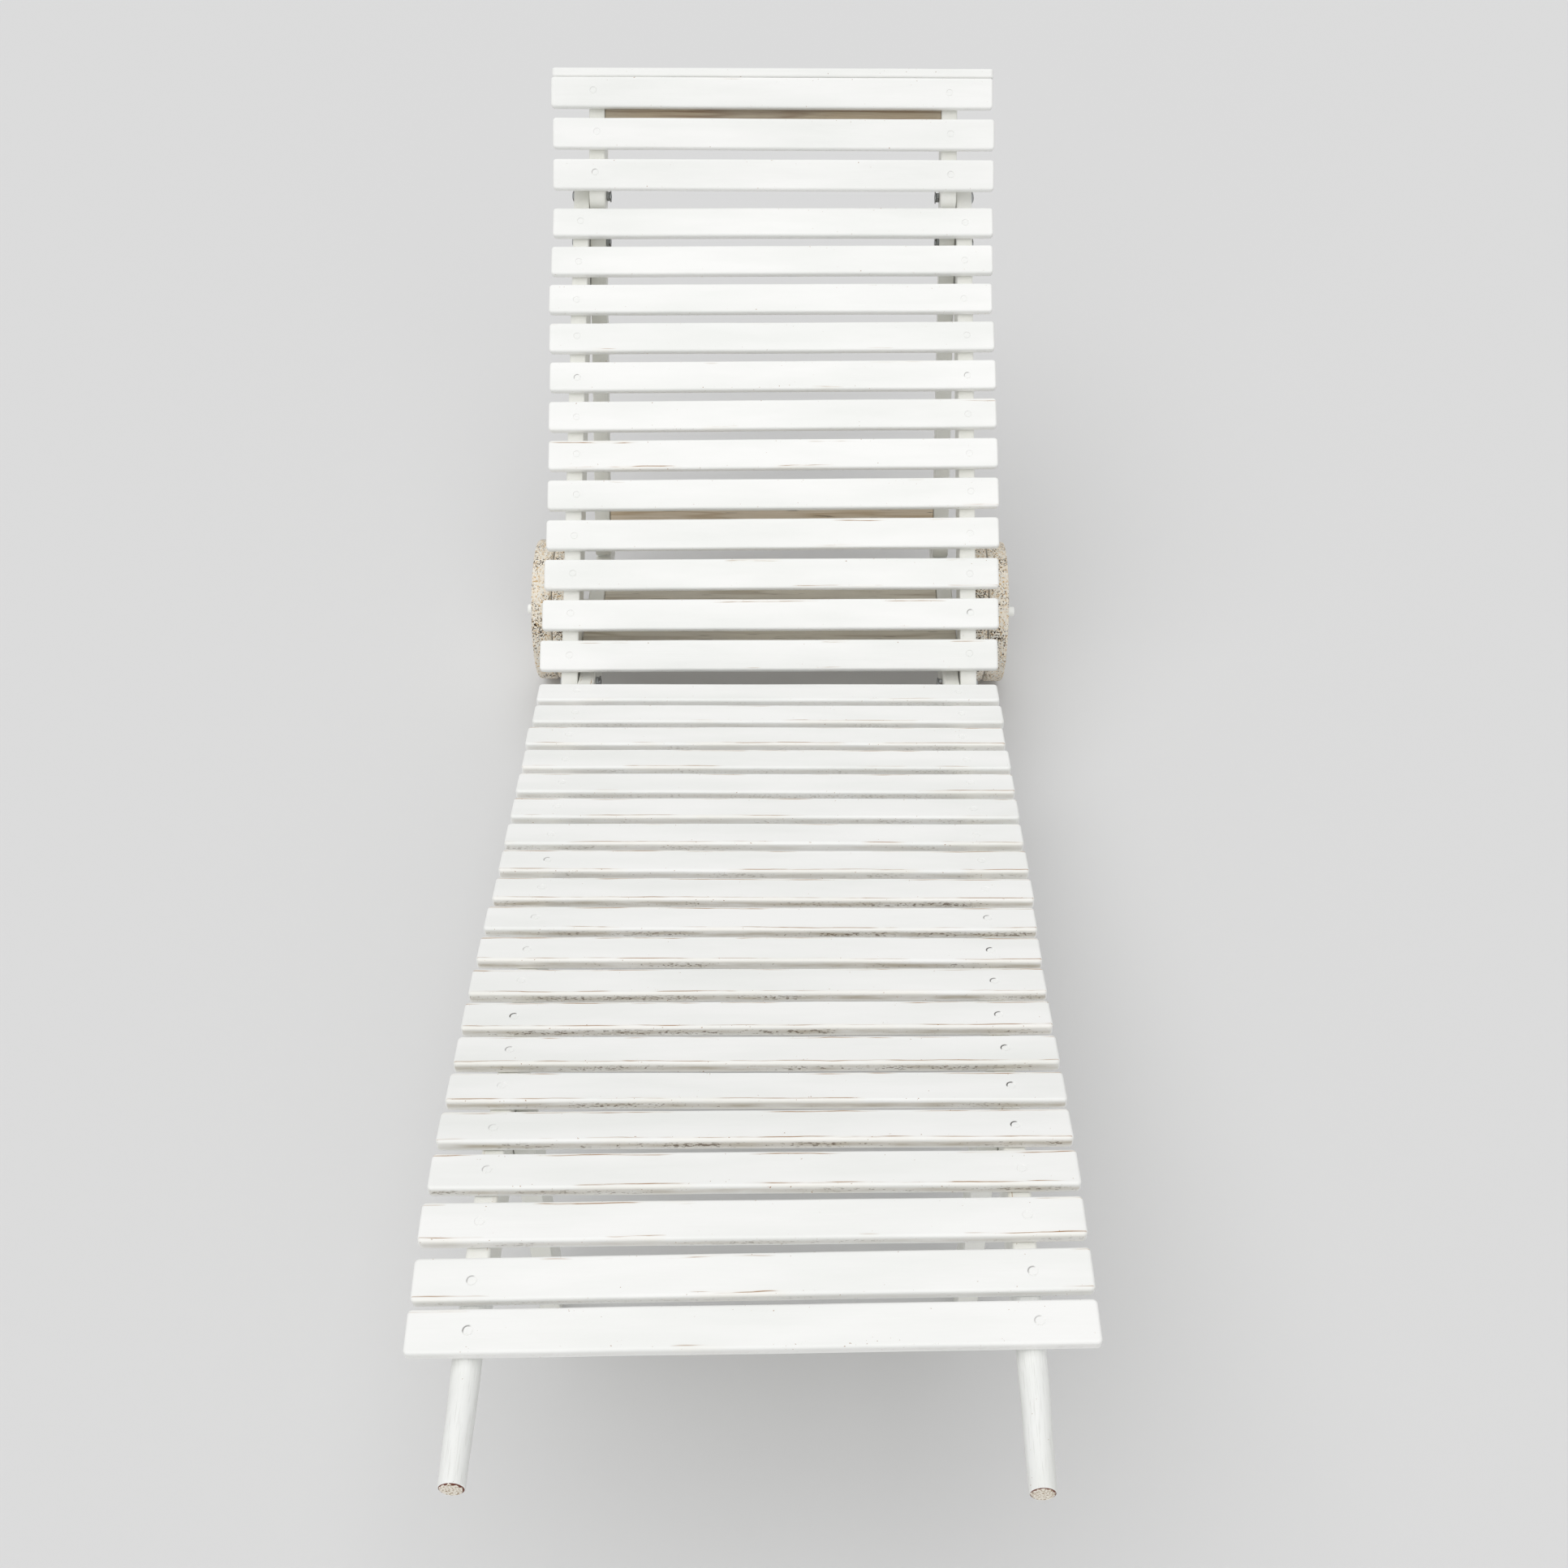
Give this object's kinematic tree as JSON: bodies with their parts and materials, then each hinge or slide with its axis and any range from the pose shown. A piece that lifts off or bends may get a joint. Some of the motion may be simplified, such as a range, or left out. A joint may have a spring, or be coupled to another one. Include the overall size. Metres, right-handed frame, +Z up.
{
  "type": "deck chair",
  "caption": "Slatted wooden deck chair with a reclining back, a tilting headrest, rear wheels and round lifting handles, painted white.",
  "frame": {"origin": "centre of the bounding box at floor level", "axes": "+Z up, +Y along the chair from the handles to the headrest, +X to the right as seen from the foot end"},
  "size_m": [0.6746, 1.9426, 0.6982],
  "materials": {
    "painted_wood": "white gloss paint on softwood, worn through along the lower slat edges",
    "bare_wood": "unpainted weathered softwood",
    "wheel_wood": "worn laminated wood with remains of pale paint",
    "painted_steel": "white painted steel rod with cap nuts",
    "zinc_steel": "dull galvanised steel bolts"
  },
  "bodies": {
    "frame": {"seat_slat_01": "painted_wood", "seat_slat_02": "painted_wood", "seat_slat_03": "painted_wood", "seat_slat_04": "painted_wood", "seat_slat_05": "painted_wood", "seat_slat_06": "painted_wood", "seat_slat_07": "painted_wood", "seat_slat_08": "painted_wood", "seat_slat_09": "painted_wood", "seat_slat_10": "painted_wood", "seat_slat_11": "painted_wood", "seat_slat_12": "painted_wood", "seat_slat_13": "painted_wood", "seat_slat_14": "painted_wood", "seat_slat_15": "painted_wood", "seat_slat_16": "painted_wood", "seat_slat_17": "painted_wood", "seat_slat_18": "painted_wood", "seat_slat_19": "painted_wood", "seat_slat_20": "painted_wood", "side_rail_left": "painted_wood", "side_rail_right": "painted_wood", "tie_board": "bare_wood", "axle_plank": "bare_wood", "front_leg_left": "painted_wood", "front_leg_right": "painted_wood", "leg_stretcher": "painted_wood", "axle": "painted_steel", "back_hinge_bolt_left": "zinc_steel", "back_hinge_bolt_right": "zinc_steel"},
    "back": {"back_slat_01": "painted_wood", "back_slat_02": "painted_wood", "back_slat_03": "painted_wood", "back_slat_04": "painted_wood", "back_slat_05": "painted_wood", "back_slat_06": "painted_wood", "back_slat_07": "painted_wood", "back_slat_08": "painted_wood", "back_slat_09": "painted_wood", "back_slat_10": "painted_wood", "back_slat_11": "painted_wood", "back_slat_12": "painted_wood", "back_rail_left": "painted_wood", "back_rail_right": "painted_wood", "prop_bolt_left": "zinc_steel", "prop_bolt_right": "zinc_steel", "headrest_bolt_left": "zinc_steel", "headrest_bolt_right": "zinc_steel"},
    "prop": {"prop_arm_left": "painted_wood", "prop_arm_right": "painted_wood", "prop_crossbar": "bare_wood"},
    "headrest": {"headrest_slat_1": "painted_wood", "headrest_slat_2": "painted_wood", "headrest_slat_3": "painted_wood", "headrest_top_slat": "painted_wood", "headrest_rail_left": "painted_wood", "headrest_rail_right": "painted_wood", "headrest_crosspiece": "bare_wood"},
    "wheel_left": {"wheel_left": "wheel_wood"},
    "wheel_right": {"wheel_right": "wheel_wood"}
  },
  "joints": [
    {"name": "back_recline", "type": "hinge", "parent": "frame", "child": "back", "pos_m": [0, 0.28307, 0.123], "axis": [1, 0, 0], "range_deg": [-18, 6]},
    {"name": "prop_swing", "type": "hinge", "parent": "back", "child": "prop", "pos_m": [0, 0.80767, 0.49307], "axis": [1, 0, 0], "range_deg": [-18, 6]},
    {"name": "headrest_tilt", "type": "hinge", "parent": "back", "child": "headrest", "pos_m": [0, 0.85298, 0.53935], "axis": [1, 0, 0], "range_deg": [-12, 18]},
    {"name": "wheel_left_spin", "type": "hinge", "parent": "frame", "child": "wheel_left", "pos_m": [-0.3085, 0.46457, 0.1], "axis": [1, 0, 0], "continuous": true},
    {"name": "wheel_right_spin", "type": "hinge", "parent": "frame", "child": "wheel_right", "pos_m": [0.3085, 0.46457, 0.1], "axis": [1, 0, 0], "continuous": true}
  ],
  "couplings": [
    {"joint": "prop_swing", "follows": "back_recline", "ratio": 1}
  ]
}
